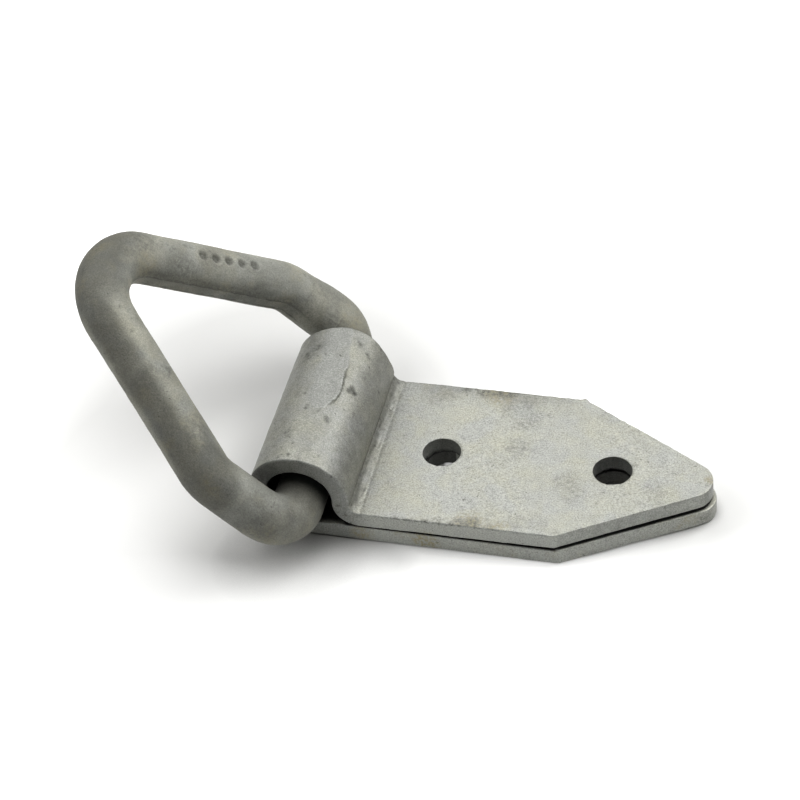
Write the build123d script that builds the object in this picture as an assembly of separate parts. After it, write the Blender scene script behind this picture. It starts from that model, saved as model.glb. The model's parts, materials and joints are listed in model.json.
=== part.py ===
from build123d import *
import math
import os

# A bolt-on lashing point: a flat bar folded once round the base bar of a forged ring.
# Millimetres. +X runs along the leaves to their pointed end, +Y across, +Z off the
# seat. The origin is midway between the two bolt holes, on the seat (underside).

# folded strap
STRAP_WIDTH = 65.0
STRAP_THICK = 6.0
ROLLED_EDGE_R = 1.4  # rounding left by the rolling mill on the bar's long edges
REVERSE_BEND_R = 3.0  # concave bend between the loop and the upper leaf
LEAF_GAP = 0.35  # between the two leaves at the root of the loop
LEAF_SPRING_DEG = 0.6  # how far the upper leaf stands open
HOLE_PITCH = 58.5
HOLE_DIA = 13.0
LOOP_TO_HOLE = 41.1  # loop centre to the nearer bolt hole
HOLE_TO_SHOULDER = 43.0  # nearer bolt hole to where the sheared corners start
SHEAR_ANGLE = 30.0  # of each sheared corner to the strap's length
TIP_R = 8.0
LOWER_LEAD = 1.2  # how far the lower leaf shows beyond the upper one

# forged ring, measured on the centreline of its bar
BAR_DIA = 17.2
SHOULDER_RISE = 33.0  # base bar to shoulder
PEAK_RISE = 111.0  # base bar to where the long legs would meet
CORNER_INNER_R = 4.4  # inside of each tight corner at the ends of the base bar
SHOULDER_INNER_R = 5.0
PEAK_INNER_R = 10.4
RAISED_DEG = 42.8  # ring plane above the seat as the part rests

# fits
LOOP_PLAY = 2.6  # between the base bar and the fold round it, on the radius
SIDE_PLAY = 6.0  # between each leg and the strap's edge
BAR_REST_CLEAR = 0.35  # under the base bar, in the bottom of the loop

BAR_R = BAR_DIA / 2
BASE_HALF = STRAP_WIDTH / 2 + SIDE_PLAY + BAR_R
LEAF_MID = STRAP_THICK / 2
LOOP_INNER_R = BAR_R + LOOP_PLAY
LOOP_OUTER_R = LOOP_INNER_R + STRAP_THICK
LOOP_MID_R = LOOP_INNER_R + LEAF_MID
NEAR_HOLE_X = -HOLE_PITCH / 2
FAR_HOLE_X = HOLE_PITCH / 2
LOOP_X = NEAR_HOLE_X - LOOP_TO_HOLE
LOOP_Z = STRAP_THICK + LOOP_INNER_R
SHOULDER_X = NEAR_HOLE_X + HOLE_TO_SHOULDER
SHARP_TIP_X = SHOULDER_X + STRAP_WIDTH / 2 / math.tan(math.radians(SHEAR_ANGLE))
HINGE_Z = STRAP_THICK + BAR_REST_CLEAR + BAR_R


def strap_path():
    """Mid-line of the folded strap, from the lower leaf's end round to the upper's."""
    spring = math.radians(LEAF_SPRING_DEG)
    reverse_z = STRAP_THICK + LEAF_GAP
    reverse_z += (REVERSE_BEND_R + STRAP_THICK) * math.cos(spring)
    sag = math.degrees(math.asin((reverse_z - LOOP_Z) / (LOOP_OUTER_R + REVERSE_BEND_R)))
    with BuildLine(Plane.XZ) as path:
        lower = Line((SHARP_TIP_X, LEAF_MID), (LOOP_X, LEAF_MID))
        loop = JernArc(lower @ 1, lower % 1, LOOP_MID_R, sag - 270)
        turn = 90 - sag + LEAF_SPRING_DEG
        back = JernArc(loop @ 1, loop % 1, REVERSE_BEND_R + LEAF_MID, turn)
        Line(back @ 1, back @ 1 + (back % 1) * (SHARP_TIP_X - LOOP_X))
    return path.wire()


def plan_outline(tip_x, low_z, high_z):
    """Prism with the strap's outline in plan, sheared to a rounded point at +X."""
    clear_y = STRAP_WIDTH  # well outside the strap, so only the point is cut
    clear_x = tip_x - clear_y / math.tan(math.radians(SHEAR_ANGLE))
    back_x = LOOP_X - 2 * LOOP_OUTER_R
    with BuildSketch(Plane.XY.offset(low_z)) as plan:
        Polygon(
            (tip_x, 0),
            (clear_x, clear_y),
            (back_x, clear_y),
            (back_x, -clear_y),
            (clear_x, -clear_y),
            align=None,
        )
        fillet(plan.vertices().sort_by(Axis.X)[-1], TIP_R)
    return extrude(plan.sketch, amount=high_z - low_z)


def folded_strap():
    path = strap_path()
    with BuildSketch(Plane(path @ 0, x_dir=(0, 1, 0), z_dir=path % 0)) as section:
        RectangleRounded(STRAP_WIDTH, STRAP_THICK, ROLLED_EDGE_R)
    bar = sweep(section.sketch, path=path)
    split_z = STRAP_THICK + LEAF_GAP / 2
    lower = bar & plan_outline(SHARP_TIP_X + LOWER_LEAD, -STRAP_THICK, split_z)
    upper = bar & plan_outline(SHARP_TIP_X, split_z, 3 * LOOP_OUTER_R)
    strap = lower + upper
    for x in (NEAR_HOLE_X, FAR_HOLE_X):
        strap -= Pos(x, 0, LEAF_MID) * Cylinder(HOLE_DIA / 2, 10 * STRAP_THICK)
    return strap


def ring_outline():
    """Closed centreline of the ring in its own plane, base bar along Y through 0."""
    corners = [
        (-BASE_HALF, 0),
        (-BASE_HALF, SHOULDER_RISE),
        (0, PEAK_RISE),
        (BASE_HALF, SHOULDER_RISE),
        (BASE_HALF, 0),
    ]
    with BuildSketch() as outline:
        Polygon(*corners, align=None)
        # shoulders first, while they are still the second row of vertices
        fillet(outline.vertices().group_by(Axis.Y)[1], BAR_R + SHOULDER_INNER_R)
        fillet(outline.vertices().group_by(Axis.Y)[0], BAR_R + CORNER_INNER_R)
        fillet(outline.vertices().group_by(Axis.Y)[-1], BAR_R + PEAK_INNER_R)
    return outline.face().outer_wire()


def lashing_ring():
    outline = ring_outline()
    base = outline.edges().sort_by(Axis.Y)[0]
    with BuildSketch(Plane(base @ 0, x_dir=(0, 0, 1), z_dir=base % 0)) as section:
        Circle(BAR_R)
    ring = sweep(section.sketch, path=outline)
    # local x lies along +Y, local y climbs away from the strap at the rest angle
    climb = math.radians(RAISED_DEG)
    normal = (math.sin(climb), 0, math.cos(climb))
    seat = Plane((LOOP_X, 0, HINGE_Z), x_dir=(0, 1, 0), z_dir=normal)
    return seat * ring


os.makedirs("parts", exist_ok=True)
export_step(folded_strap(), "parts/folded_strap.step")
export_step(lashing_ring(), "parts/lashing_ring.step")
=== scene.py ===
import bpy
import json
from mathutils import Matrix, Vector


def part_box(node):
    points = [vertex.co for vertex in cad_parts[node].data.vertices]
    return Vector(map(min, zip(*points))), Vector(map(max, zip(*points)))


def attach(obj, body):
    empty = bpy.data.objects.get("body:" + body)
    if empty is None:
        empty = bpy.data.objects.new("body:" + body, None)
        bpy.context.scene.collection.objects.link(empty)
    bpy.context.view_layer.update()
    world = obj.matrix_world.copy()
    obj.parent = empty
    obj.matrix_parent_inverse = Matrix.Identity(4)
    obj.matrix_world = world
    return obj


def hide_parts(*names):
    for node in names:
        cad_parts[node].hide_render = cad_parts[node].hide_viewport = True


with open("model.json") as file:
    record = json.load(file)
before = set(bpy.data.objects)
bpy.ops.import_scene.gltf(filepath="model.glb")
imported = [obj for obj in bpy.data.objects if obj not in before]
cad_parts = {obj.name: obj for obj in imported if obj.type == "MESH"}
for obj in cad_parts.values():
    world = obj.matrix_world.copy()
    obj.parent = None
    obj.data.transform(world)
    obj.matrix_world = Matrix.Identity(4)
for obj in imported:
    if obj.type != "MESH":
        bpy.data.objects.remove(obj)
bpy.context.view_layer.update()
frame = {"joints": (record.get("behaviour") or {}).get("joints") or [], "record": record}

import json
import math

import bmesh
import bpy
import numpy as np
from mathutils import Matrix, Vector, noise

# Metres, in the row frame: +X along the leaves to their point, +Z off the seat.
MM = 0.001
RECORD = frame["record"]
BOLTS = next(m for m in RECORD["mounts"] if m["name"] == "bolts")
SWING = next(j for j in frame["joints"] if j["name"] == "ring_swing")
STRAP_LO, STRAP_HI = (np.array(c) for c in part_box("folded_strap"))
RING_LO, RING_HI = (np.array(c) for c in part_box("lashing_ring"))

# folded strap
THICK = 6.0 * MM
HALF_T = THICK / 2
HALF_W = (STRAP_HI[1] - STRAP_LO[1]) / 2
LOOP_OUTER = (STRAP_HI[2] - STRAP_LO[2]) / 2
LOOP_X = STRAP_LO[0] + LOOP_OUTER
LOOP_Z = LOOP_OUTER
ROOT_R = 3.0 * MM  # concave bend between loop and upper leaf
LEAF_GAP = 0.35 * MM
SPRING = math.radians(0.6)  # how far the upper leaf stands open
LEAF_TOP = 2 * THICK + LEAF_GAP
LOWER_LEAD = 1.2 * MM
TIP_R = 8.0 * MM
SHEAR = math.radians(30)
CUT_LEAN = 0.9 * MM  # how much further out the near shear cut lies than the far one
LOWER_TIP = STRAP_HI[0] + CUT_LEAN
UPPER_TIP = LOWER_TIP - LOWER_LEAD
NOSE_Y = -CUT_LEAN / (2 * math.cos(SHEAR))
# arris radii as (rolled side edge, sheared edge)
OUTER_ARRIS = (0.8 * MM, 0.25 * MM)
INNER_ARRIS = (0.5 * MM, 0.5 * MM)
SEAT_ARRIS = (0.6 * MM, 0.6 * MM)
HOLE_R = BOLTS["dims"]["hole_r_mm"] * MM
HOLE_X = BOLTS["dims"]["spacing_x_mm"] * MM / 2
HOLE_SLIP = ((0.9 * MM, 0.6 * MM), (0.1 * MM, 0.2 * MM))  # lower leaf's holes off the upper's, x and y
LEAF_MARK_RISE = 0.4 * MM  # marks on the leaf are centred this far over its top, which springs open

# forged ring
BAR_R = 8.6 * MM
BASE_HALF = (RING_HI[1] - RING_LO[1]) / 2 - BAR_R
SHOULDER_V = 33.0 * MM
PEAK_V = 111.0 * MM
CORNER_R = 13.0 * MM
SHOULDER_R = 13.6 * MM
PEAK_R = 19.0 * MM
RAISED = math.radians(42.8)
TRIM = math.radians(14)  # half the angle the trimmed flat takes up round the bar
TRIM_OUTSIDE = math.radians(9)
BULGE = 2.2 * MM  # of the far corner
SHADING_ACROSS, SHADING_OFF = 0.66, 0.75  # direction round the bar that its painted light and shade is laid along
DIMPLES_AT = (19.0, 24.4, 29.8, 35.2, 40.6)  # mm from the far shoulder up the leg
DIMPLE_R = 2.1 * MM
HINGE = np.array(SWING["pos_m"])

LEAF_GRID = 0.85 * MM  # spacing of the strap's mesh rows
SEAT_GRID = 1.7 * MM
ROOT_GRID = 0.3 * MM
LOOP_GRID = 0.46 * MM
ACROSS = 108  # and its columns on the outer and inner faces
ACROSS_INSIDE = 54
RING_STEP = 0.55 * MM
RING_SIDES = 104
SEAM_REACH = 3.0 * MM  # distance either side of a seam that the seam mask covers
SEED = 11


def smoothstep(a, b, x):
    t = np.clip((x - a) / (b - a), 0.0, 1.0)
    return t * t * (3 - 2 * t)


def lumps(points, size, seed, detail=2):
    """Soft noise in about -1..1 at each point; size is the width of one lump."""
    shift = Vector((seed * 7.3, seed * 3.1, seed * 5.7))
    return np.array([noise.fractal(Vector(p) / size + shift, 0.6, 2.1, detail) for p in points])


def add_object(name, data):
    ob = bpy.data.objects.new(name, data)
    bpy.context.collection.objects.link(ob)
    return ob


# ---------------------------------------------------------------- folded strap


def leaf_sides(x, tip_x):
    """The strap's near and far y at x, for a leaf whose rounded point ends at tip_x."""
    centre_x = tip_x - TIP_R
    sharp_x = centre_x + TIP_R / math.sin(SHEAR)
    if x > centre_x + TIP_R * math.sin(SHEAR):
        reach = math.sqrt(max(TIP_R**2 - (x - centre_x) ** 2, 0.0))
    else:
        reach = (sharp_x - x) * math.tan(SHEAR)
    return max(-HALF_W, NOSE_Y - reach), min(HALF_W, NOSE_Y + reach)


def cut_depth(x, y, tip_x):
    """How far inside the two shear cuts and the rounded point a place lies."""
    ahead, aside = x - (tip_x - TIP_R), np.abs(y - NOSE_Y)
    cut = TIP_R - ahead * math.sin(SHEAR) - aside * math.cos(SHEAR)
    nose = (ahead > 0) & (aside < ahead / math.tan(SHEAR))
    return np.where(nose, TIP_R - np.hypot(ahead, aside), cut)


def shoulder_at(reach):
    """x at which a shear cut of the upper leaf meets an edge this far from the nose's y."""
    return UPPER_TIP - TIP_R + (TIP_R - reach * math.cos(SHEAR)) / math.sin(SHEAR)


def edge_profile(x, y, tip_x, arrises):
    """Half thickness at a point of the strap: the arrises are rounded towards the edge."""
    if tip_x is None:
        inset = np.clip(arrises[0] - (HALF_W - np.abs(y)), 0.0, None)
        return HALF_T - arrises[0] + np.sqrt(np.clip(arrises[0]**2 - inset**2, 0.0, None))
    rolled = HALF_W - np.abs(y)
    cut = cut_depth(x, y, tip_x)
    arris = np.where(cut < rolled, arrises[1], arrises[0])
    depth = np.clip(np.minimum(rolled, cut), 0.0, None)
    inset = np.clip(arris - depth, 0.0, None)
    return HALF_T - arris + np.sqrt(np.clip(arris**2 - inset**2, 0.0, None))


def leaf_stations(from_x, tip_x, dense, grid):
    """x of each mesh row on a leaf, dense at the root and closing up round the nose."""
    nose_x = tip_x - TIP_R + TIP_R * math.sin(SHEAR)
    dense_x = from_x + dense
    straight = list(np.arange(from_x, dense_x, ROOT_GRID))
    count = int((nose_x - dense_x) / grid)
    straight += list(np.linspace(dense_x, nose_x, count, endpoint=False))
    sweep = np.linspace(math.pi / 2 - SHEAR, 0, 18)
    return straight + [tip_x - TIP_R + TIP_R * math.cos(a) for a in sweep]


def strap_stations():
    """(mid point x, z, heading, near y, far y, tip or None) of each row along the strap."""
    mid_r = LOOP_OUTER - HALF_T
    bend_r = ROOT_R + HALF_T
    bend_z = THICK + LEAF_GAP + (ROOT_R + THICK) * math.cos(SPRING)
    sag = math.asin((bend_z - LOOP_Z) / (LOOP_OUTER + ROOT_R))
    bend_x = LOOP_X + (LOOP_OUTER + ROOT_R) * math.cos(sag)
    rows = []
    for x in reversed(leaf_stations(LOOP_X, LOWER_TIP, 0.0, SEAT_GRID)[1:]):
        rows.append((x, HALF_T, math.pi, *leaf_sides(x, LOWER_TIP), LOWER_TIP))
    for a in np.linspace(-math.pi / 2, sag - 2 * math.pi, int((1.5 * math.pi) * mid_r / LOOP_GRID)):
        rows.append((LOOP_X + mid_r * math.cos(a), LOOP_Z + mid_r * math.sin(a),
                     a - math.pi / 2, -HALF_W, HALF_W, None))
    turn = math.pi / 2 - sag + SPRING
    for a in np.linspace(0, turn, int(turn * (bend_r + HALF_T) / ROOT_GRID))[1:]:
        here = math.pi + sag + a
        rows.append((bend_x + bend_r * math.cos(here), bend_z + bend_r * math.sin(here),
                     here + math.pi / 2, -HALF_W, HALF_W, None))
    start_x, start_z = rows[-1][0], rows[-1][1]
    for x in leaf_stations(start_x, UPPER_TIP, 7 * MM, LEAF_GRID)[1:]:
        z = start_z + (x - start_x) * math.tan(SPRING)
        rows.append((x, z, SPRING, *leaf_sides(x, UPPER_TIP), UPPER_TIP))
    return rows


def strap_mesh():
    """Quads swept along the fold; each row is a closed loop round the bar."""
    near_edge = np.array([0, 0.05, 0.12, 0.22, 0.35, 0.55, 0.8, 1.1, 1.5]) * MM
    wall = 9
    verts, rows = [], strap_stations()
    for x, z, heading, near, far, tip in rows:
        inset = near_edge * min(1.0, (far - near) / (6 * MM))
        y, y_inside = (np.concatenate([near + inset[:-1], np.linspace(near + inset[-1], far - inset[-1], count),
                                       (far - inset[:-1])[::-1]]) for count in (ACROSS, ACROSS_INSIDE))
        seated = float(smoothstep(LOOP_Z, THICK, z)) if heading != SPRING else 0.0
        outer = [a + (b - a) * seated for a, b in zip(OUTER_ARRIS, SEAT_ARRIS)]
        up = edge_profile(x, y, tip, outer)
        down = edge_profile(x, y_inside, tip, INNER_ARRIS)
        climb = np.linspace(0, 1, wall + 2)[1:-1]
        wall_rise = -down[-1] + climb * (down[-1] + up[-1])
        y_loop = np.concatenate([y_inside, np.full(wall, far), y[::-1], np.full(wall, near)])
        n_loop = np.concatenate([-down, wall_rise, up[::-1], wall_rise[::-1]])
        outward = (math.cos(heading + math.pi / 2), math.sin(heading + math.pi / 2))
        verts.append(np.stack([x + n_loop * outward[0], y_loop, z + n_loop * outward[1]], 1))
    ring = len(verts[0])
    faces = []
    for i in range(len(rows) - 1):
        a, b = i * ring, (i + 1) * ring
        for j in range(ring):
            k = (j + 1) % ring
            faces.append((a + j, b + j, b + k, a + k))
    mesh = bpy.data.meshes.new("strap")
    mesh.from_pydata(np.concatenate(verts).tolist(), [], faces)
    return mesh


def lathe(name, profile, x, y, segments=96):
    """Closed turned solid about a vertical line; profile is a list of (radius, z)."""
    verts = [(x, y, profile[0][1])]
    for radius, z in profile:
        for i in range(segments):
            a = 2 * math.pi * i / segments
            verts.append((x + radius * math.cos(a), y + radius * math.sin(a), z))
    verts.append((x, y, profile[-1][1]))
    faces = []
    for r in range(len(profile) - 1):
        for i in range(segments):
            k = (i + 1) % segments
            a, b = 1 + r * segments, 1 + (r + 1) * segments
            faces.append((a + i, a + k, b + k, b + i))
    for i in range(segments):
        k = (i + 1) % segments
        faces.append((0, 1 + k, 1 + i))
        last = 1 + (len(profile) - 1) * segments
        faces.append((len(verts) - 1, last + i, last + k))
    mesh = bpy.data.meshes.new(name)
    mesh.from_pydata(verts, [], faces)
    mesh.update()
    return add_object(name, mesh)


def rounded_mouth(radius, z, up):
    """Profile points that open a hole's rim with a small radius, at height z."""
    r = 0.35 * MM
    steps = [(radius + r * (1 - math.cos(a)), z - up * r * (1 - math.sin(a)))
             for a in np.linspace(0, math.pi / 2, 5)]
    return steps + [(radius + r, z + up * 2 * MM)]


def hole_cutters():
    """One cutter per leaf and hole: punched, so each widens downwards a little."""
    cutters = []
    for i, x in enumerate((-HOLE_X, HOLE_X)):
        top = LEAF_TOP + (x - LOOP_X - LOOP_OUTER) * math.tan(SPRING)
        upper = [(HOLE_R + 0.1 * MM, THICK + 0.05 * MM), (HOLE_R + 0.1 * MM, THICK + 2 * MM)]
        upper += [(HOLE_R, z) for z in np.linspace(top - 2.5 * MM, top - 0.6 * MM, 4)]
        upper += rounded_mouth(HOLE_R, top, 1)
        cutters.append(lathe(f"cut_upper_{i}", upper, x, 0))
        slip_x, slip_y = HOLE_SLIP[i]
        lower = rounded_mouth(HOLE_R + 0.35 * MM, 0, -1)[::-1]
        lower += [(HOLE_R + 0.25 * MM, z) for z in np.linspace(1 * MM, THICK - 0.5 * MM, 5)]
        lower += [(HOLE_R + 0.3 * MM, THICK + 0.02 * MM)]
        cutters.append(lathe(f"cut_lower_{i}", lower, x + slip_x, slip_y))
    return cutters


def drilled(ob, cutters):
    for cutter in cutters:
        modifier = ob.modifiers.new("hole", "BOOLEAN")
        modifier.operation = "DIFFERENCE"
        modifier.solver = "EXACT"
        modifier.object = cutter
    depsgraph = bpy.context.evaluated_depsgraph_get()
    mesh = bpy.data.meshes.new_from_object(ob.evaluated_get(depsgraph))
    ob.modifiers.clear()
    ob.data = mesh
    for cutter in cutters:
        bpy.data.meshes.remove(cutter.data)
    return ob


def merge_close(mesh, distance):
    work = bmesh.new()
    work.from_mesh(mesh)
    bmesh.ops.remove_doubles(work, verts=work.verts, dist=distance)
    bmesh.ops.dissolve_degenerate(work, edges=work.edges, dist=distance / 10)
    bmesh.ops.recalc_face_normals(work, faces=work.faces)
    work.to_mesh(mesh)
    work.free()


def coordinates(mesh):
    co = np.empty(len(mesh.vertices) * 3, np.float32)
    mesh.vertices.foreach_get("co", co)
    return co.reshape(-1, 3).astype(float)


def normals(mesh):
    n = np.empty(len(mesh.vertices) * 3, np.float32)
    mesh.vertex_normals.foreach_get("vector", n)
    return n.reshape(-1, 3).astype(float)


def set_coordinates(mesh, co):
    mesh.vertices.foreach_set("co", co.astype(np.float32).ravel())
    mesh.update()


def set_mask(mesh, name, values):
    attribute = mesh.attributes.new(name, "FLOAT", "POINT")
    attribute.data.foreach_set("value", np.clip(values, 0, 1).astype(np.float32))


def finish_mesh(mesh, sharp_degrees):
    mesh.polygons.foreach_set("use_smooth", np.ones(len(mesh.polygons), bool))
    mesh.set_sharp_from_angle(angle=math.radians(sharp_degrees))
    mesh.update()


def loop_point(degrees, y_mm):
    """A point on the outside of the fold, by its angle above +X and its y."""
    a = math.radians(degrees)
    return np.array([LOOP_X + LOOP_OUTER * math.cos(a), y_mm * MM, LOOP_Z + LOOP_OUTER * math.sin(a)])


def leaf_point(x_mm, y_mm):
    return np.array([x_mm * MM, y_mm * MM, LEAF_TOP + LEAF_MARK_RISE])


def near_polyline(co, points, outward):
    """Signed distance from each vertex to a line through the points, and how far along it is.

    The distance is positive on the left of the line, looking against outward."""
    best = np.full(len(co), 1.0)
    side = np.ones(len(co))
    along = np.zeros(len(co))
    for i, (a, b) in enumerate(zip(points[:-1], points[1:])):
        d = b - a
        t = np.clip((co - a) @ d / (d @ d), 0, 1)
        away = co - (a + t[:, None] * d)
        gap = np.linalg.norm(away, axis=1)
        closer = gap < best
        best = np.where(closer, gap, best)
        side = np.where(closer, np.sign((away * np.cross(d, outward)).sum(1)), side)
        along = np.where(closer, (i + t) / (len(points) - 1), along)
    return best * side, along


def dents(co, spots):
    """Depth 0..1 of each round dent at each vertex; spots are (point, radius)."""
    depth = np.zeros(len(co))
    for point, radius in spots:
        gap = np.linalg.norm(co - point, axis=1) / radius
        depth = np.maximum(depth, np.clip(1 - gap**2, 0, 1))
    return depth


def scattered(rng, co, count, low, high):
    """Seeded dents on a piece's own surface."""
    picks = rng.integers(0, len(co), count)
    return [(co[i], rng.uniform(low, high) * MM) for i in picks]


def weathered_strap(mesh):
    """Moves the surface by the zinc's runs, pits and burrs and paints where they are, with painted shade in the
    crevices, the holes, the loop and on the fold.
    """
    rng = np.random.default_rng(SEED)
    co, n = coordinates(mesh), normals(mesh)
    x, y, z = co.T
    x_mm, y_mm = x / MM, y / MM
    angle = np.degrees(np.arctan2(z - LOOP_Z, x - LOOP_X))
    radius = np.hypot(x - LOOP_X, z - LOOP_Z)
    root_x = LOOP_X + LOOP_OUTER + ROOT_R
    outside = (x < root_x) & (radius > LOOP_OUTER - 0.9 * MM) & (z > THICK) & (angle > -35)
    inside = (radius < LOOP_OUTER - THICK + 1.3 * MM) & (x < LOOP_X + LOOP_OUTER)
    top = (n[:, 2] > 0.7) & (x > root_x) & (z > 1.8 * THICK)
    side = np.abs(n[:, 1]) > 0.5
    broad, middle, fine = lumps(co, 16 * MM, 1), lumps(co, 3.2 * MM, 2), lumps(co, 1.3 * MM, 3)
    push = 0.10 * MM * broad + 0.055 * MM * middle + 0.03 * MM * fine

    # the far end of the loop is drawn in a little on its leaf side
    flank = np.exp(-((angle - 23) / 20) ** 2) * smoothstep(12, 32, y_mm) * outside
    push -= 0.9 * MM * flank
    stretch = np.exp(-((angle - 68) / 26) ** 2) * smoothstep(18, 32, y_mm) * (x < root_x) * (z > LOOP_Z)

    # a run of zinc frozen over the crown, its lip hooking back toward the near end
    lip = [loop_point(*p) for p in
           ((79, 33), (75, 28), (71.5, 22), (67.5, 16), (68, 12), (67, 8), (66, 3.5), (67.5, 0),
            (71, -3.2), (76, -5.5))]
    gap, along = near_polyline(co, lip, np.array([0.35, 0.0, 0.94]))
    lip_share = smoothstep(0.0, 0.45, along) * smoothstep(1.0, 0.9, along) * outside
    left = 101 + 7 * smoothstep(5, 32, y_mm) - 10 * smoothstep(2, -9, y_mm)
    ragged = 3.5 * lumps(co, 5 * MM, 4)
    run = (gap > 0) * smoothstep(0, 0.5 * MM, gap)
    run *= (1 - smoothstep(left - 5, left + 4, angle + ragged)) * smoothstep(-8, -5, y_mm) * outside
    push += outside * 0.20 * MM * run * (0.35 + 0.65 * np.exp(-(gap / (4 * MM)) ** 2))
    push += 0.14 * MM * lip_share * np.exp(-((gap - 0.5 * MM) / (0.8 * MM)) ** 2)
    push -= 0.22 * MM * lip_share * np.exp(-((gap + 0.35 * MM) / (0.45 * MM)) ** 2)
    ripple = np.sin(angle * 1.5 + 2.0 * lumps(co, 6 * MM, 9)) * np.exp(-((y_mm + 8) / 3.5) ** 2)
    push += 0.06 * MM * ripple * outside * smoothstep(25, 40, angle) * smoothstep(80, 68, angle)

    # rough zinc in the root's bend, with a groove either side of it
    wander = 0.35 * MM * lumps(np.stack([0 * y, y, 0 * y], 1), 9 * MM, 5, 3)
    bend_top = np.array([LOOP_X + LOOP_OUTER - 0.1 * MM, LEAF_TOP + ROOT_R])
    in_root = (n[:, 0] > -0.5) & (z > 1.75 * THICK) & (z < LOOP_Z + 2 * MM)
    in_root &= (x > LOOP_X + 0.8 * LOOP_OUTER) & (radius > LOOP_OUTER - 1 * MM)
    groove = np.hypot(x - bend_top[0], z - bend_top[1])
    groove = np.where(z < bend_top[1], groove, -groove) - wander
    far_groove = x - root_x - 0.3 * MM - 0.6 * wander
    bead = smoothstep(0.2 * MM, 1.2 * MM, groove) * smoothstep(0.1 * MM, -0.9 * MM, far_groove)
    push += in_root * (0.11 * MM * bead * (1 + 0.7 * middle + 0.6 * fine))
    push -= in_root * 0.18 * MM * np.exp(-(groove / (0.7 * MM)) ** 2)
    push -= in_root * 0.08 * MM * np.exp(-(far_groove / (0.5 * MM)) ** 2)

    # pits and scars
    spots = scattered(rng, co[outside | top], 90, 0.45, 0.8)
    for degrees, y_at in ((111, 23.5), (113, 22), (116, 23), (126, 21.2), (123, 19.5), (120, 18),
                          (98, -7.7), (97, -6.2), (70, -10.8), (69, -12), (112, -19.1), (52, 24.3),
                          (49, 23.4), (66, 27.2), (63, 26.6), (44, 14.1)):
        spots.append((loop_point(degrees, y_at), rng.uniform(0.6, 1.0) * MM))
    for _ in range(11):
        spots.append((leaf_point(-41.3 + rng.normal(0, 1.5), -19.5 + rng.normal(0, 1.4)), 0.75 * MM))
    pits = dents(co, spots)
    push -= 0.12 * MM * pits
    nick = dents(co, [(loop_point(55, 6.8), 1.5 * MM), (loop_point(51.5, 5.4), 1.4 * MM),
                      (loop_point(58, 5.2), 1.2 * MM)])
    push -= 0.22 * MM * np.sqrt(nick)
    scar = dents(co, [(loop_point(32, -17.7), 1.0 * MM), (loop_point(30, -19.0), 0.9 * MM)])
    push -= 0.08 * MM * scar

    # torn burrs and nicks along the sheared and rolled arrises
    far_shoulder_x, shoulder_x = shoulder_at(HALF_W - NOSE_Y), shoulder_at(HALF_W + NOSE_Y)
    arris = (np.abs(n[:, 2]) > 0.2) & (np.abs(n[:, 2]) < 0.96) & (z > 1.7 * THICK) & (x > root_x)
    tear = lumps(co, 1.5 * MM, 7, 3)
    push += np.where(arris, 0.10 * MM * tear, 0)
    cut_nick = dents(co, [(leaf_point(41.4, -17.9), 1.3 * MM), (leaf_point(27.9, 24.9), 1.6 * MM),
                          (leaf_point(30.5, 23.4), 1.2 * MM)])
    push -= 0.30 * MM * cut_nick
    corner = np.array([shoulder_x + 0.5 * MM, -HALF_W + 0.2 * MM, LEAF_TOP + LEAF_MARK_RISE])
    burr = dents(co, [(corner, 2.0 * MM)]) * (z > 1.9 * THICK)
    far_corner = np.array([far_shoulder_x + 0.3 * MM, HALF_W - 0.2 * MM, LEAF_TOP + LEAF_MARK_RISE])
    far_burr = dents(co, [(far_corner, 1.6 * MM)]) * (z > 1.9 * THICK)
    push += 0.35 * MM * (burr + far_burr)
    bruise = dents(co, [(np.array([STRAP_HI[0] - 2.6 * MM, -7.0 * MM, 2.6 * MM]), 3.4 * MM)])
    push -= 0.35 * MM * bruise

    # torn metal round the inside of the holes
    bore = np.zeros(len(co))
    for hole in (-HOLE_X, HOLE_X):
        reach = np.hypot(x - hole, y)
        bore = np.maximum(bore, (reach < HOLE_R + 1.1 * MM) & (np.abs(n[:, 2]) < 0.75))
    torn = lumps(co, 1.6 * MM, 8) * smoothstep(1.4 * MM, 0.0, np.abs(z - THICK - 0.5 * MM))
    push += 0.6 * MM * bore * torn

    # the lower leaf stands a little proud on the near side, more toward the point
    away = co + n * push[:, None]
    away[:, 1] += 0.8 * MM * stretch
    lower = (z < THICK + 0.2 * MM) & (x > LOOP_X)
    away[:, 1] -= np.where(lower, 0.2 * MM * smoothstep(LOOP_X, STRAP_HI[0] - 10 * MM, x), 0)
    away[:, 2] = np.maximum(away[:, 2], STRAP_LO[2])
    set_coordinates(mesh, away)

    # painted shade: between the leaves, inside the loop, on the lower leaf under the loop, on the fold's side
    # faces and down the holes the metal is painted nearly black, and nicks and pits are painted darker
    covered = np.minimum(HALF_W - np.abs(y), cut_depth(x, y, UPPER_TIP))
    crevice = (z > THICK - 0.6 * MM) & (z < THICK + 1.6 * MM) & (np.abs(n[:, 2]) > 0.5)
    crevice &= ((n[:, 2] > 0) == (z < THICK + 0.25 * MM)) & (x > root_x - 6 * MM)
    crevice = crevice * smoothstep(-0.1 * MM, 0.5 * MM, covered)
    under = (z < THICK + 0.4 * MM) & (n[:, 2] > 0.5) & (x > LOOP_X) & (x < root_x)
    under = under * smoothstep(0.6 * MM, 2.6 * MM, HALF_W - np.abs(y))
    bore = bore * np.where(z < THICK + 0.3 * MM, 0.72, 0.42)
    end_face_shade = 0.45 * smoothstep(105, 150, angle) * side * (x < LOOP_X) * (z > THICK)
    set_mask(mesh, "dark", np.maximum.reduce([0.95 * crevice, bore, 0.90 * inside * ~side, 0.9 * under, end_face_shade,
                                              0.6 * np.sqrt(nick), 0.4 * pits * outside]))
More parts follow.
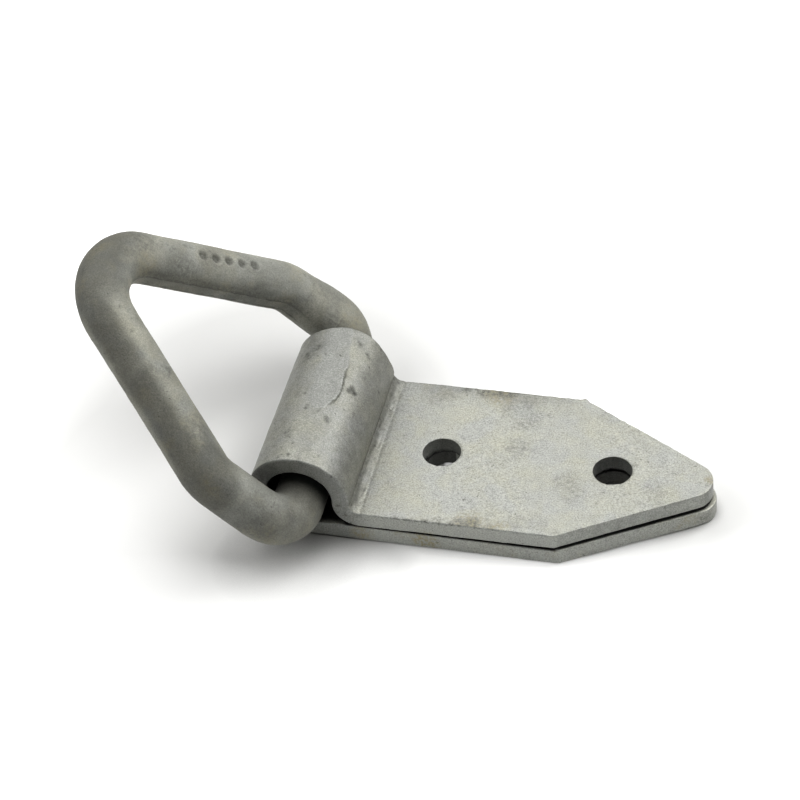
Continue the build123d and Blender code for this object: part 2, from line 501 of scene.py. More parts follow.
    # cut and side faces take the darker, bluer Cut colour: partly their own finish, partly painted shade of faces
    # turned from the light
    cut = ((x > far_shoulder_x) & (np.abs(n[:, 2]) < 0.6)) | side
    set_mask(mesh, "cut", cut.astype(float))

    # painted shade of the fold and of the cut faces: the fold's outside darker than the leaf and darker still on
    # its flank toward the leaf, the leaf darker near the fold and along its far side, the fold's side faces, the
    # sheared faces and the nose darker; painted on, it stays on the metal under any light
    sleeve = smoothstep(root_x + 1 * MM, root_x - 3 * MM, x) * (0.54 + 0.14 * middle) * (z > THICK)
    leaf_side = smoothstep(62, 28, angle + 4 * broad) * outside
    leaf_side *= smoothstep(root_x + 0.5 * MM, root_x - 2 * MM, x)
    sleeve = np.maximum(sleeve + 0.45 * leaf_side, 0.27 * smoothstep(root_x + 26 * MM, root_x, x) * top)
    far = smoothstep(22, 32.5, y_mm + 3 * broad) * smoothstep(20, 0, x_mm)
    arch = smoothstep(root_x + 5 * MM, root_x - 7 * MM, x) * side
    arch *= (0.78 + 0.28 * smoothstep(100, 150, angle) + 0.1 * middle)
    sheared = (x > shoulder_x + 1 * MM) & (np.abs(n[:, 2]) < 0.6)
    sheared = sheared * np.where(z > THICK, 0.32, 0.08) * (1 + 0.8 * middle)
    sheared += 0.3 * (n[:, 0] > 0.75) * (x > shoulder_x)
    set_mask(mesh, "shade", np.maximum.reduce([sleeve * ~side, 0.45 * far * top, arch, sheared]))
    set_mask(mesh, "cool", np.maximum(run, 0.7 * smoothstep(0.1, 0.5, lumps(co, 13 * MM, 10)) * top))

    # dirt and rust: blots and smears on the leaf, scabs on the fold, rims along the edges, and painted shade in
    # the grooves of the root
    blots = dents(co, [(leaf_point(-21, 31.4), 4.2 * MM), (leaf_point(-16.5, 31.6), 3.4 * MM),
                       (leaf_point(-12.2, 31.8), 4.4 * MM), (leaf_point(-28, 31.8), 3.4 * MM),
                       (leaf_point(-16.5, -32.2), 3.6 * MM), (leaf_point(-12.0, -30.9), 3.6 * MM),
                       (leaf_point(-23.5, -32.4), 3.2 * MM), (leaf_point(-6.4, -32.4), 2.6 * MM),
                       (leaf_point(28.2, -10.4), 0.8 * MM), (leaf_point(35.4, -10.4), 0.8 * MM)])
    smears = dents(co, [(leaf_point(-5, 27.8), 6.5 * MM), (leaf_point(-3, 19.5), 6.5 * MM),
                        (leaf_point(-9, 24), 6 * MM), (leaf_point(15, -7.5), 6 * MM),
                        (leaf_point(18.8, -13.0), 5.5 * MM), (leaf_point(3, -28.4), 4.5 * MM),
                        (leaf_point(9, -27.6), 4.5 * MM), (leaf_point(-4, 6), 6 * MM),
                        (leaf_point(-36, 27), 8 * MM), (leaf_point(46, -8), 6 * MM)])
    blots = np.maximum(blots, 0.45 * smears * (0.8 + 0.5 * middle))
    marks = [(np.array([LOOP_X + 13.6 * MM * math.cos(a), -HALF_W, LOOP_Z + 14.4 * MM * math.sin(a)]), r * MM)
            for a, r in ((-0.12, 1.6), (-0.35, 1.3), (2.6, 3.0))]
    blots = np.maximum(blots * top, 0.9 * dents(co, marks) * side)
    scabs = dents(co, [(loop_point(113, 22.5), 4.0 * MM), (loop_point(122, 19.5), 3.6 * MM),
                       (loop_point(64, 27.0), 3.2 * MM), (loop_point(47, 14.1), 3.0 * MM),
                       (loop_point(108, -19), 3.0 * MM), (loop_point(70, -11), 2.4 * MM)])
    blots = np.maximum(blots, 0.6 * scabs * outside)
    rim = smoothstep(1.7 * MM, 0.3 * MM, HALF_W - np.abs(y)) * (n[:, 2] > 0.3) * (z > 1.9 * THICK)
    broken = smoothstep(-0.12, 0.2, lumps(co, 2.2 * MM, 24))
    near_rim = smoothstep(-44, -34, x_mm) * smoothstep(-2, -8, x_mm) * (y < 0)
    far_rim = smoothstep(-34, -28, x_mm) * smoothstep(-4, -9, x_mm) * (y > 0)
    blots = np.maximum(blots, rim * broken * (near_rim + far_rim))
    # the fold's outside darker on its flank toward the leaf, on its far flank and in patches
    darker_patches = 0.5 * smoothstep(8, 24, angle) * smoothstep(50, 30, angle) * outside
    darker_patches = np.maximum(darker_patches, 0.2 * smoothstep(115, 150, angle) * outside)
    darker_patches = np.maximum(darker_patches, 0.40 * smoothstep(0.1, 0.6, lumps(co, 2.4 * MM, 25)) * outside * (run < 0.5))
    # painted shade: the grooves either side of the root are darkened
    grooves = 0.6 * np.exp(-(groove / (1.0 * MM)) ** 2) + 0.35 * np.exp(-(far_groove / (0.8 * MM)) ** 2)
    soot_and_shade = np.maximum.reduce([blots, np.where(outside, 0.9, 0.55) * pits, nick, 0.7 * scar, 0.7 * bruise,
                              darker_patches * (0.5 + 0.5 * middle), in_root * grooves,
                              0.65 * in_root * bead * (0.5 + middle)])
    set_mask(mesh, "soot_and_shade", soot_and_shade)
    rust = np.maximum.reduce([
        0.9 * dents(co, [(np.array([-28 * MM, -HALF_W, 3 * MM]), 6 * MM)]),
        0.6 * dents(co, [(np.array([-50 * MM, -HALF_W, 3 * MM]), 5 * MM)]),
        0.7 * dents(co, [(leaf_point(-13, -31.5), 7 * MM), (leaf_point(-3, -31.8), 5 * MM)]) * top,
        0.6 * dents(co, [(leaf_point(-15, 31), 8 * MM)]) * top,
        0.35 * smoothstep(0.1, 0.6, lumps(co, 9 * MM, 21)) * side * (z < THICK),
        0.7 * dents(co, [(leaf_point(61.5, 0.5), 2.6 * MM)])])
    set_mask(mesh, "rust", rust)

    # signed distance to the nearest seam, which the material draws as a thin dark line
    reach = np.where(lip_share > 0, gap, SEAM_REACH)
    near_root = in_root & (np.abs(groove) < SEAM_REACH)
    reach = np.where(near_root & (np.abs(groove) < np.abs(far_groove)), groove, reach)
    reach = np.where(near_root & (np.abs(groove) >= np.abs(far_groove)), far_groove, reach)
    set_mask(mesh, "seam", 0.5 + 0.5 * np.clip(reach / SEAM_REACH, -1, 1))
    patchy = np.clip(0.6 + 0.7 * lumps(co, 5 * MM, 22), 0, 1)
    root_share = in_root * np.where(np.abs(groove) < np.abs(far_groove), 0.55, 0.25) * patchy
    set_mask(mesh, "seam_share", np.maximum(lip_share * smoothstep(0.25, 0.5, along), root_share))


def build_strap():
    mesh = strap_mesh()
    merge_close(mesh, 0.01 * MM)
    ob = add_object("folded_strap_skin", mesh)
    drilled(ob, hole_cutters())
    merge_close(ob.data, 0.004 * MM)
    weathered_strap(ob.data)
    finish_mesh(ob.data, 50)
    return ob


# ----------------------------------------------------------------- forged ring


def ring_corners():
    """(across, climb, bend radius) of each corner of the ring's centreline."""
    return [(-BASE_HALF, 0.0, CORNER_R), (-BASE_HALF, SHOULDER_V, SHOULDER_R), (0.0, PEAK_V, PEAK_R),
            (BASE_HALF, SHOULDER_V, SHOULDER_R), (BASE_HALF, 0.0, CORNER_R)]


def ring_centreline():
    """Points of the closed centreline in the ring's plane, evenly spaced."""
    corners = [(np.array(c[:2]), c[2]) for c in ring_corners()]
    points = []
    for i, (here, bend) in enumerate(corners):
        back = corners[i - 1][0] - here
        ahead = corners[(i + 1) % len(corners)][0] - here
        back, ahead = back / np.linalg.norm(back), ahead / np.linalg.norm(ahead)
        half = math.acos(float(back @ ahead)) / 2
        reach = bend / math.tan(half)
        middle = (back + ahead) / np.linalg.norm(back + ahead)
        centre = here + middle * bend / math.sin(half)
        first, last = here + back * reach - centre, here + ahead * reach - centre
        a, b = math.atan2(first[1], first[0]), math.atan2(last[1], last[0])
        turn = (b - a + math.pi) % (2 * math.pi) - math.pi
        for t in np.linspace(0, 1, 40):
            points.append(centre + bend * np.array([math.cos(a + turn * t), math.sin(a + turn * t)]))
    points = np.array(points + [points[0]])
    lengths = np.concatenate([[0], np.cumsum(np.linalg.norm(np.diff(points, axis=0), axis=1))])
    even = np.linspace(0, lengths[-1], int(lengths[-1] / RING_STEP), endpoint=False)
    return np.stack([np.interp(even, lengths, points[:, k]) for k in (0, 1)], 1)


def to_row(across, climb, off):
    """From the ring's plane (across, climb, off the plane) to the row frame."""
    x = HINGE[0] - climb * math.cos(RAISED) + off * math.sin(RAISED)
    z = HINGE[2] + climb * math.sin(RAISED) + off * math.cos(RAISED)
    return np.stack([x, across, z], -1)


def build_ring():
    line = ring_centreline()
    ahead = np.roll(line, -1, 0) - np.roll(line, 1, 0)
    ahead /= np.linalg.norm(ahead, axis=1)[:, None]
    outward = np.stack([-ahead[:, 1], ahead[:, 0]], 1)  # the line runs clockwise
    psi = np.linspace(0, 2 * math.pi, RING_SIDES, endpoint=False)
    inner = np.abs(psi - math.pi)
    outer = np.minimum(psi, 2 * math.pi - psi)

    # trimmed flash leaves a narrow flat round the inside and a fainter one outside
    flat_in = np.where(inner < TRIM, math.cos(TRIM) / np.cos(inner), 1.0)
    flat_out = np.where(outer < TRIM_OUTSIDE, math.cos(TRIM_OUTSIDE) / np.cos(outer), 1.0)
    ridge = 0.10 * MM * np.exp(-((inner - TRIM - 0.05) / 0.06) ** 2)
    on_legs = smoothstep(14 * MM, 26 * MM, line[:, 1])[:, None]
    swell = 1 + 0.045 * np.exp(-(line[:, 0] / (15 * MM)) ** 2) * (line[:, 1] > SHOULDER_V)
    bulk = BAR_R * swell[:, None]
    radius = bulk * (1 - on_legs * (1 - flat_in * flat_out)) + on_legs * ridge
    across = line[:, 0, None] + outward[:, 0, None] * radius * np.cos(psi)
    climb = line[:, 1, None] + outward[:, 1, None] * radius * np.cos(psi)
    off = radius * np.sin(psi)
    verts = to_row(across, climb, off).reshape(-1, 3)
    count, sides = len(line), RING_SIDES
    faces = []
    for i in range(count):
        a, b = i * sides, ((i + 1) % count) * sides
        for j in range(sides):
            k = (j + 1) % sides
            faces.append((a + j, a + k, b + k, b + j))
    mesh = bpy.data.meshes.new("ring")
    mesh.from_pydata(verts.tolist(), [], faces)
    merge_close(mesh, 0.001 * MM)
    ob = add_object("lashing_ring_skin", mesh)
    weathered_ring(mesh)
    finish_mesh(mesh, 60)
    return ob


def weathered_ring(mesh):
    """Lumps, pits and punched dimples of the forging, where its soiling lies, and its painted light and shade."""
    rng = np.random.default_rng(SEED + 1)
    co, n = coordinates(mesh), normals(mesh)
    out = co - HINGE
    climb = -out[:, 0] * math.cos(RAISED) + out[:, 2] * math.sin(RAISED)
    off = out[:, 0] * math.sin(RAISED) + out[:, 2] * math.cos(RAISED)
    across = co[:, 1]
    broad, middle = lumps(co, 18 * MM, 11), lumps(co, 4 * MM, 12)
    push = 0.16 * MM * broad + 0.06 * MM * middle + 0.03 * MM * lumps(co, 1.5 * MM, 13)
    spots = scattered(rng, co, 120, 0.5, 0.9)
    leg = np.array([-BASE_HALF, PEAK_V - SHOULDER_V])
    leg /= np.linalg.norm(leg)
    start = np.array([BASE_HALF, SHOULDER_V])

    def on_leg(reach, aside):
        """A point on top of the far long leg, in mm up it and aside from its middle."""
        place = start + leg * reach * MM
        return to_row(place[0] + aside * leg[1] * MM, place[1] - aside * leg[0] * MM, BAR_R)

    for reach, aside in ((52.5, 0.5), (54.0, -0.8), (50.8, -1.4), (56.5, 1.2), (47.5, 3.0), (45.0, 2.4)):
        spots.append((on_leg(reach, aside), rng.uniform(0.9, 1.3) * MM))
    pits = dents(co, spots)
    push -= 0.13 * MM * pits

    # a row of plain round punch dimples on the far long leg
    dimples = [on_leg(*at) for at in zip(DIMPLES_AT, (0.25, -0.1, -0.1, -0.2, 0.1))]
    near = np.min([np.linalg.norm(co - d, axis=1) for d in dimples], 0)
    punched = smoothstep(DIMPLE_R, 0.5 * DIMPLE_R, near)
    lip = np.exp(-((near - 1.15 * DIMPLE_R) / (0.25 * DIMPLE_R)) ** 2)
    push += 0.22 * MM * lip - 1.0 * MM * punched
    moved = co + n * push[:, None]
    bulge = smoothstep(BASE_HALF - 3 * MM, BASE_HALF + 7 * MM, across) * smoothstep(32 * MM, 14 * MM, climb)
    moved[:, 1] += BULGE * bulge
    set_coordinates(mesh, moved)

    # seam either side of the trimmed flat, and dirt held beside it
    slope = (PEAK_V - SHOULDER_V) / BASE_HALF
    to_leg = (PEAK_V - climb - slope * np.abs(across)) / math.hypot(1, slope)
    inner_side = smoothstep(0.70 * BAR_R, 0.92 * BAR_R, to_leg) * smoothstep(0.6, 0.9, climb / SHOULDER_V)
    inner_side *= smoothstep(PEAK_V - 16 * MM, PEAK_V - 24 * MM, climb)
    edge = np.abs(off) - BAR_R * math.sin(TRIM) - 0.1 * MM + 0.25 * MM * middle
    set_mask(mesh, "seam", 0.5 + 0.5 * np.clip(edge / SEAM_REACH, -1, 1))
    set_mask(mesh, "seam_share", 0.9 * inner_side * (0.75 + 0.5 * middle))
    streak = lumps(co * np.array([0.55, 0.55, 1.0]), 7 * MM, 16)
    darker_patches = 0.40 * smoothstep(0.0, 0.55, streak) + 0.25 * smoothstep(-0.1, 0.5, broad)
    outside_leg = start + leg * 50 * MM + 4.5 * MM * np.array([-leg[1], leg[0]])
    peak_dirt = dents(co, [(to_row(*outside_leg, 6 * MM), 7 * MM)])
    # painted shade: this mask also darkens the hollows of the punched dimples
    set_mask(mesh, "soot_and_shade", np.maximum.reduce([0.8 * pits, 0.6 * punched, darker_patches, 0.55 * peak_dirt,
                                              0.5 * inner_side * (edge > 0) * (edge < 2 * MM)]))
    set_mask(mesh, "rust", 0.22 * smoothstep(0.05, 0.6, lumps(co, 12 * MM, 14)))
    set_mask(mesh, "cool", smoothstep(0.1, 0.5, lumps(co, 11 * MM, 15)))

    # painted light and shade of the bar: a darker band along the near leg, a darker apex, base bar, near shoulder
    # and near corner, the inside of the far leg darker and its outer side lighter, a painted highlight along the
    # near leg; it stays on the metal as the ring swings and under any light
    near_leg = smoothstep(5 * MM, -10 * MM, across) * smoothstep(12 * MM, 30 * MM, climb)
    round_bar = (SHADING_ACROSS * to_leg + SHADING_OFF * off) / BAR_R
    band = (0.35 + 0.65 * smoothstep(-0.95, -0.6, round_bar)) * smoothstep(0.62, 0.1, round_bar)
    glance = smoothstep(0.4, 0.85, round_bar) * near_leg
    apex = smoothstep(PEAK_V - 26 * MM, PEAK_V - 12 * MM, climb)
    base_bar = smoothstep(BASE_HALF + 1 * MM, BASE_HALF - 10 * MM, np.abs(across)) * (climb < 12 * MM)
    bend = smoothstep(14 * MM, 5 * MM, np.abs(climb - SHOULDER_V)) * (across < 0)
    bend *= smoothstep(0.9 * BAR_R, 0.0, to_leg)
    near_corner = smoothstep(-24 * MM, -34 * MM, across) * smoothstep(28 * MM, 16 * MM, climb)
    light = smoothstep(8 * MM, 20 * MM, across) * smoothstep(0.25 * BAR_R, -0.6 * BAR_R, to_leg)
    shaded = np.maximum.reduce([0.64 * near_leg * band, 0.8 * apex, 0.64 * base_bar, 0.72 * bend,
                                0.31 * near_corner, 0.3 * inner_side * (across > 0)])
    set_mask(mesh, "shade", 0.36 + shaded - 0.30 * light - 0.08 * glance + 0.28 * lumps(co, 9 * MM, 17))
    # painted shade: the bar is painted nearly black where the fold covers it, and the dimples darker
    covered = smoothstep(HALF_W + 6 * MM, HALF_W - 2 * MM, np.abs(across)) * (climb < 12 * MM)
    set_mask(mesh, "dark", np.maximum(0.75 * covered, 0.4 * punched))


# ------------------------------------------------------------------- materials


class Graph:
    """Short way to add and link nodes in one tree."""

    def __init__(self, tree):
        self.tree = tree

    def node(self, kind, inputs=None, **settings):
        made = self.tree.nodes.new(kind)
        for key, value in settings.items():
            setattr(made, key, value)
        for key, value in (inputs or {}).items():
            self.put(value, made.inputs[key])
        return made

    def put(self, value, socket):
        if isinstance(value, bpy.types.NodeSocket):
            self.tree.links.new(value, socket)
        else:
            socket.default_value = value

    def noise(self, vector, scale, detail=2.0, rough=0.5):
        made = self.node("ShaderNodeTexNoise", {"Vector": vector, "Scale": scale, "Detail": detail,
                                                "Roughness": rough})
        return made.outputs["Fac"]

    def math(self, operation, a, b=0.0, clamp=False):
        made = self.node("ShaderNodeMath", operation=operation, use_clamp=clamp)
        self.put(a, made.inputs[0])
        self.put(b, made.inputs[1])
        return made.outputs[0]

    def spread(self, value, low, high, to_low=0.0, to_high=1.0):
        made = self.node("ShaderNodeMapRange", {"Value": value, "From Min": low, "From Max": high,
                                                "To Min": to_low, "To Max": to_high})
        return made.outputs["Result"]

    def mix(self, factor, a, b, blend="MIX"):
        made = self.node("ShaderNodeMix", data_type="RGBA", blend_type=blend)
        self.put(factor, made.inputs["Factor"])
        self.put(a, made.inputs["A"])
        self.put(b, made.inputs["B"])
        return made.outputs["Result"]

    def mask(self, name):
        return self.node("ShaderNodeAttribute", attribute_name=name).outputs["Fac"]


def rgb(r, g, b):
    return (r, g, b, 1.0)


def group(name, inputs, outputs):
    """A node group with named sockets: {name: default} in, {name: kind} out."""
    tree = bpy.data.node_groups.new(name, "ShaderNodeTree")
    for key, default in inputs.items():
        kind = "NodeSocketColor" if isinstance(default, tuple) else "NodeSocketFloat"
        socket = tree.interface.new_socket(key, in_out="INPUT", socket_type=kind)
        socket.default_value = default
    for key, kind in outputs.items():
        tree.interface.new_socket(key, in_out="OUTPUT", socket_type=kind)
    return tree, tree.nodes.new("NodeGroupInput"), tree.nodes.new("NodeGroupOutput")


def zinc_colour_group():
    """Mottled zinc: warm and cool patches, a sandy grain and dark specks, darkened by the painted shade that
    comes in at Shade.
    """
    tree, inside, out = group(
        "zinc_colour",
        {"Warm": rgb(0.5, 0.5, 0.44), "Cool": rgb(0.46, 0.48, 0.48), "Speck": rgb(0.12, 0.12, 0.1),
         "Patch": 60.0, "Grain": 0.2, "Specks": 0.5, "Coolness": 0.0, "Shade": 0.0,
         "Cut": rgb(0.3, 0.3, 0.3), "Cutness": 0.0},
        {"Color": "NodeSocketColor", "Mottle": "NodeSocketFloat"})
    g = Graph(tree)
    place = g.node("ShaderNodeTexCoord").outputs["Object"]
    patch = g.spread(g.noise(place, inside.outputs["Patch"], 5.0, 0.65), 0.35, 0.65)
    patch = g.math("ADD", patch, inside.outputs["Coolness"], clamp=True)
    colour = g.mix(patch, inside.outputs["Warm"], inside.outputs["Cool"])
    colour = g.mix(inside.outputs["Cutness"], colour, inside.outputs["Cut"])
    mottle = g.noise(place, 420.0, 4.0, 0.62)
    grain = g.noise(place, 2000.0, 2.0, 0.7)
    level = g.math("ADD", g.spread(mottle, 0.3, 0.7, -0.4, 0.4), g.spread(grain, 0.3, 0.7, -1.15, 1.15))
    level = g.math("ADD", g.math("MULTIPLY", level, inside.outputs["Grain"]), 1.0)
    level = g.math("MULTIPLY", level, g.math("SUBTRACT", 1.0, inside.outputs["Shade"]))
    shade = g.node("ShaderNodeCombineColor")
    for channel in ("Red", "Green", "Blue"):
        g.put(level, shade.inputs[channel])
    colour = g.mix(1.0, colour, shade.outputs["Color"], "MULTIPLY")
    speck = g.noise(place, 1150.0, 1.0, 0.5)
    crowd = g.noise(place, 95.0, 2.0, 0.5)
    dots = g.spread(g.math("ADD", speck, g.math("MULTIPLY", crowd, 0.5)), 0.99, 1.05)
    dots = g.math("MULTIPLY", dots, inside.outputs["Specks"], clamp=True)
    g.put(g.mix(dots, colour, inside.outputs["Speck"]), out.inputs["Color"])
    g.put(mottle, out.inputs["Mottle"])
    return tree


def stain_and_shade_group():
    """Lays rust and soiling over a colour, broken up by noise, and painted shade, near black, where Dark says."""
    tree, inside, out = group(
        "stains_and_shade",
        {"Color": rgb(0.5, 0.5, 0.5), "Soot": 0.0, "Rust": 0.0, "Dark": 0.0,
         "Soot Colour": rgb(0.10, 0.10, 0.085), "Rust Colour": rgb(0.26, 0.22, 0.10)},
        {"Color": "NodeSocketColor"})
    g = Graph(tree)
    place = g.node("ShaderNodeTexCoord").outputs["Object"]
    torn = g.noise(place, 620.0, 4.0, 0.75)
    soot_and_shade = g.math("MULTIPLY", inside.outputs["Soot"], g.spread(torn, 0.42, 0.60, 0.12, 1.0), clamp=True)
    rust = g.math("MULTIPLY", inside.outputs["Rust"], g.spread(torn, 0.62, 0.36), clamp=True)
    colour = g.mix(rust, inside.outputs["Color"], inside.outputs["Rust Colour"])
    colour = g.mix(soot_and_shade, colour, inside.outputs["Soot Colour"])
    # painted shade: near black where the Dark mask says no light gets in
    g.put(g.mix(inside.outputs["Dark"], colour, rgb(0.012, 0.012, 0.011)), out.inputs["Color"])
    return tree


def grain_group():
    """Height of the sandy zinc surface, for a Bump node."""
    tree, inside, out = group("zinc_grain", {"Coarse": 0.6, "Fine": 1.0}, {"Height": "NodeSocketFloat"})
    g = Graph(tree)
    place = g.node("ShaderNodeTexCoord").outputs["Object"]
    coarse = g.math("MULTIPLY", g.noise(place, 480.0, 3.0, 0.55), inside.outputs["Coarse"])
    fine = g.math("MULTIPLY", g.noise(place, 1500.0, 2.0, 0.6), inside.outputs["Fine"])
    g.put(g.math("ADD", coarse, fine), out.inputs["Height"])
    return tree


def seam_group():
    """Thin ragged dark line where the seam mask crosses its middle value."""
    tree, inside, out = group("seam_line", {"Seam": 1.0, "Share": 0.0, "Width": 0.6}, {"Line": "NodeSocketFloat"})
    g = Graph(tree)
    place = g.node("ShaderNodeTexCoord").outputs["Object"]
    sway = g.math("MULTIPLY", g.math("SUBTRACT", g.noise(place, 500.0, 3.0, 0.6), 0.5), 1.6)
    apart = g.math("MULTIPLY", g.math("SUBTRACT", inside.outputs["Seam"], 0.5), 2 * SEAM_REACH / MM)
    apart = g.math("ABSOLUTE", g.math("ADD", apart, sway))
    uneven = g.spread(g.noise(place, 260.0, 2.0, 0.5), 0.35, 0.65, 0.3, 1.6)
    width = g.math("MULTIPLY", inside.outputs["Width"], uneven)
    line = g.node("ShaderNodeMapRange", {"Value": apart, "From Min": width, "From Max": 0.0})
    faded = g.math("MULTIPLY", line.outputs["Result"], inside.outputs["Share"], clamp=True)
    g.put(faded, out.inputs["Line"])
    return tree


def new_material(name):
    """A material, its graph and its Principled BSDF."""
    material = bpy.data.materials.new(name)
    material.use_nodes = True
    shader = next(n for n in material.node_tree.nodes if n.type == "BSDF_PRINCIPLED")
    return material, Graph(material.node_tree), shader


def zinc_material(name, groups, look):
    material, g, shader = new_material(name)
    skin = g.node("ShaderNodeGroup", node_tree=groups["colour"])
    for key in ("Warm", "Cool", "Speck", "Patch", "Grain", "Specks"):
        g.put(look[key], skin.inputs[key])
    g.put(g.math("MULTIPLY", g.mask("cool"), look["Cool share"]), skin.inputs["Coolness"])
    g.put(g.math("MULTIPLY", g.mask("shade"), look["Shade share"]), skin.inputs["Shade"])
    g.put(look["Cut"], skin.inputs["Cut"])
    g.put(g.math("MULTIPLY", g.mask("cut"), look["Cut share"]), skin.inputs["Cutness"])
    seam = g.node("ShaderNodeGroup", node_tree=groups["seam"])
    g.put(g.mask("seam"), seam.inputs["Seam"])
    g.put(g.mask("seam_share"), seam.inputs["Share"])
    stained_and_shaded = g.node("ShaderNodeGroup", node_tree=groups["stains_and_shade"])
    g.put(skin.outputs["Color"], stained_and_shaded.inputs["Color"])
    g.put(g.mask("soot_and_shade"), stained_and_shaded.inputs["Soot"])
    g.put(g.mask("rust"), stained_and_shaded.inputs["Rust"])
    g.put(g.mask("dark"), stained_and_shaded.inputs["Dark"])
    shown = g.mix(g.math("MULTIPLY", seam.outputs["Line"], 0.85), stained_and_shaded.outputs["Color"], look["Speck"])
    g.put(shown, shader.inputs["Base Color"])
    g.put(g.spread(skin.outputs["Mottle"], 0.3, 0.7, *look["Rough"]), shader.inputs["Roughness"])
    shader.inputs["Metallic"].default_value = look["Metallic"]
    shader.inputs["Specular IOR Level"].default_value = look["Specular"]
    height = g.node("ShaderNodeGroup", node_tree=groups["grain"])
    level = g.math("SUBTRACT", height.outputs["Height"], g.math("MULTIPLY", seam.outputs["Line"], 1.5))
    bump = g.node("ShaderNodeBump", {"Strength": look["Bump"], "Distance": 0.12 * MM, "Height": level})
    g.put(bump.outputs["Normal"], shader.inputs["Normal"])
    return material


def paper_material():
    """White paper, brighter to the lens than to the part by a painted glow, with painted shadow laid out for the
    pose at rest.
    """
    material, g, shader = new_material("paper")
    seen = g.node("ShaderNodeLightPath").outputs["Is Camera Ray"]
    place = g.node("ShaderNodeTexCoord").outputs["Object"]

    def near_to(x_mm, y_mm, inner_mm, outer_mm):
        gap = g.node("ShaderNodeVectorMath", {0: place, 1: (x_mm * MM, y_mm * MM, 0)}, operation="DISTANCE")
        return g.spread(gap.outputs["Value"], outer_mm * MM, inner_mm * MM)

    def contact(reach):
        return g.node("ShaderNodeAmbientOcclusion", {"Distance": reach}, samples=8).outputs["AO"]

    # painted shadow: ambient occlusion darkens the paper next to the part, more widely near the ring's corner,
    # and a grey pool is painted inside the ring where it rests
    corner = near_to(-68, -38, 18, 40)
    open_sky = g.math("MINIMUM", g.spread(contact(5 * MM), 0.0, 0.9),
                      g.math("MAXIMUM", g.spread(contact(22 * MM), 0.25, 1.0), g.math("SUBTRACT", 1.0, corner)))
    shadow_pool = g.mix(near_to(-105, 50, 30, 90), rgb(0.78, 0.78, 0.765), rgb(0.64, 0.64, 0.628))
    paper = g.mix(open_sky, rgb(0.22, 0.22, 0.21), shadow_pool)
    g.put(g.mix(seen, rgb(0.8, 0.8, 0.79), paper), shader.inputs["Base Color"])
    # painted glow: for the lens the paper glows away from the part's shadows, far off, under the hole nearer the
    # fold and outside the ring's near leg
    shadowed = g.math("MAXIMUM", near_to(-95, 15, 62, 115), near_to(60, 10, 20, 60))
    shadowed = g.math("MAXIMUM", shadowed, near_to(20, 0, 24, 30))
    burnt = g.math("MULTIPLY", g.math("SUBTRACT", 1.0, shadowed), 0.45)
    further = g.math("MULTIPLY", g.math("SUBTRACT", 1.0, near_to(-40, 0, 300, 1200)), 0.8)
    through = g.math("MULTIPLY", near_to(-26, 8.5, 4.5, 5.5), 0.35)
    outside = g.math("MULTIPLY", near_to(-165, -45, 25, 62), 0.15)
    glow = g.math("MAXIMUM", g.math("MAXIMUM", burnt, further), g.math("MAXIMUM", through, outside))
    g.put(g.math("MULTIPLY", seen, glow), shader.inputs["Emission Strength"])
    shader.inputs["Emission Color"].default_value = rgb(1, 1, 1)
    shader.inputs["Roughness"].default_value = 0.9
    shader.inputs["Specular IOR Level"].default_value = 0.1
    return material


# Cut is the darker, bluer colour of the cut and side faces, partly painted shade; Shade share is how far the
# painted shade mask darkens the metal
STRAP_LOOK = {
    "Warm": rgb(0.437, 0.437, 0.372), "Cool": rgb(0.418, 0.425, 0.396), "Speck": rgb(0.09, 0.09, 0.07),
    "Patch": 75.0, "Grain": 0.27, "Specks": 0.6, "Cool share": 0.8, "Cut": rgb(0.36, 0.37, 0.345),
    "Cut share": 0.75, "Shade share": 0.5, "Rough": (0.50, 0.66), "Metallic": 0.7, "Specular": 0.4,
    "Bump": 0.9}
RING_LOOK = {
    "Warm": rgb(0.358, 0.352, 0.288), "Cool": rgb(0.333, 0.338, 0.30), "Speck": rgb(0.06, 0.06, 0.05),
    "Patch": 55.0, "Grain": 0.20, "Specks": 0.6, "Cool share": 0.5, "Cut": rgb(0.3, 0.3, 0.3),
    "Cut share": 0.0, "Shade share": 0.6, "Rough": (0.62, 0.80), "Metallic": 0.45, "Specular": 0.35,
    "Bump": 0.8}


# ----------------------------------------------------------------------- stage


def build_stage():
    """The paper, a little below the seat so that the two never share a plane."""
    mesh = bpy.data.meshes.new("floor")
    side = 6.0
    mesh.from_pydata([(-side, -side, 0), (side, -side, 0), (side, side, 0), (-side, side, 0)], [],
                     [(0, 1, 2, 3)])
    floor = add_object("floor", mesh)
    floor.location.z = -0.4 * MM
    mesh.materials.append(paper_material())


def area_light(name, place, target, size, power):
    light = bpy.data.lights.new(name, "AREA")
    light.shape = "RECTANGLE"
    light.size, light.size_y = size
    light.energy = power
    ob = add_object(name, light)
    ob.location = place
    aim = Vector(target) - Vector(place)
    ob.rotation_euler = aim.to_track_quat("-Z", "Y").to_euler()


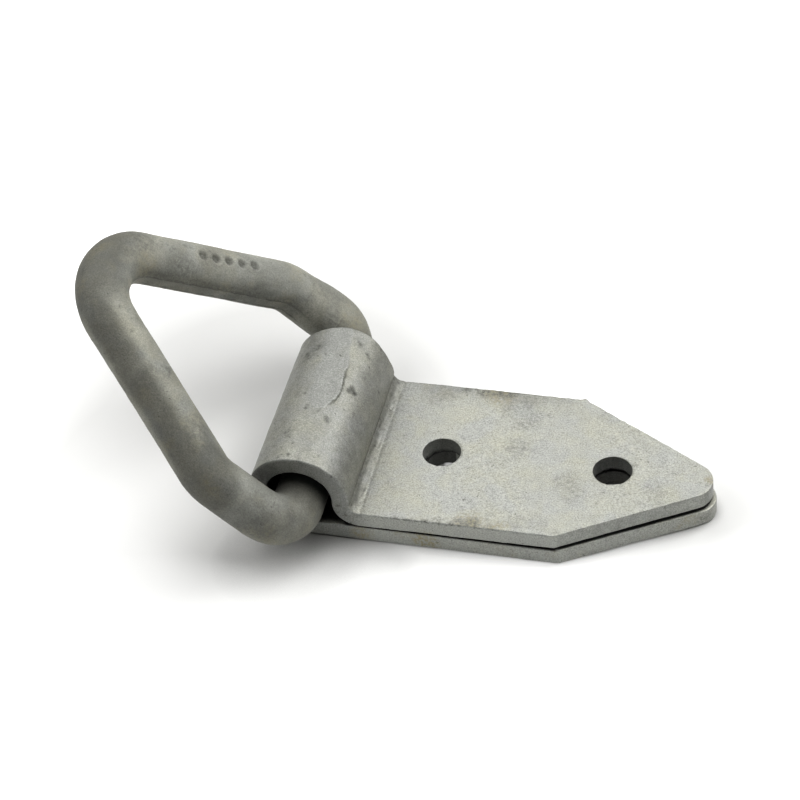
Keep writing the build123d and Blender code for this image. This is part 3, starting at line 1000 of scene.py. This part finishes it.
def build_lights():
    world = bpy.data.worlds.new("studio")
    world.use_nodes = True
    bpy.context.scene.world = world
    back = next(n for n in world.node_tree.nodes if n.type == "BACKGROUND")
    g = Graph(world.node_tree)
    g.put(rgb(1, 1, 1), back.inputs["Color"])
    seen = g.node("ShaderNodeLightPath").outputs["Is Camera Ray"]
    g.put(g.spread(seen, 0.0, 1.0, 0.02, 1.0), back.inputs["Strength"])
    part, box = (-0.03, 0, 0), (0.7, 0.7)
    for name, place, power in (
            ("softbox_top", (0.0, 0.0, 1.2), 5.0), ("softbox_left", (-0.9, 0.0, 0.8), 5.6),
            ("softbox_right", (0.9, 0.0, 0.8), 5.2), ("softbox_back_right", (0.6, 0.6, 0.85), 8.2),
            ("softbox_back_left", (-0.5, 0.7, 0.87), 3.8), ("softbox_front_left", (-0.6, -0.6, 0.85), 1.8)):
        area_light(name, place, part, box, power)


def build_camera():
    """A long lens from in front, to the right and above, tilted a little."""
    azimuth, elevation, roll = (math.radians(a) for a in (18.11, 43.65, -6.36))
    distance = 937.9 * MM
    target = Vector((-HOLE_X - 24.2 * MM, 35.0 * MM, 0))
    back = Vector((math.sin(azimuth) * math.cos(elevation), -math.cos(azimuth) * math.cos(elevation),
                   math.sin(elevation)))
    right = Vector((math.cos(azimuth), math.sin(azimuth), 0))
    up = back.cross(right)
    across = right * math.cos(roll) + up * math.sin(roll)
    upright = up * math.cos(roll) - right * math.sin(roll)
    data = bpy.data.cameras.new("camera")
    data.sensor_width = 36.0
    data.lens = 119.83
    data.clip_start, data.clip_end = 0.05, 30.0
    camera = add_object("camera", data)
    turn = Matrix((across, upright, back)).transposed().to_4x4()
    camera.matrix_world = Matrix.Translation(target + back * distance) @ turn
    bpy.context.scene.camera = camera


strap, ring = build_strap(), build_ring()
GROUPS = {"colour": zinc_colour_group(), "stains_and_shade": stain_and_shade_group(), "grain": grain_group(), "seam": seam_group()}
strap.data.materials.clear()
strap.data.materials.append(zinc_material("galvanised_bar", GROUPS, STRAP_LOOK))
ring.data.materials.append(zinc_material("galvanised_forging", GROUPS, RING_LOOK))
for piece, body, node, slot in ((strap, "strap", "folded_strap", "galvanised_strap"),
                                (ring, "ring", "lashing_ring", "galvanised_ring")):
    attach(piece, body)
    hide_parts(node)
build_stage()
build_lights()
build_camera()
bpy.context.scene.view_settings.view_transform = "Standard"
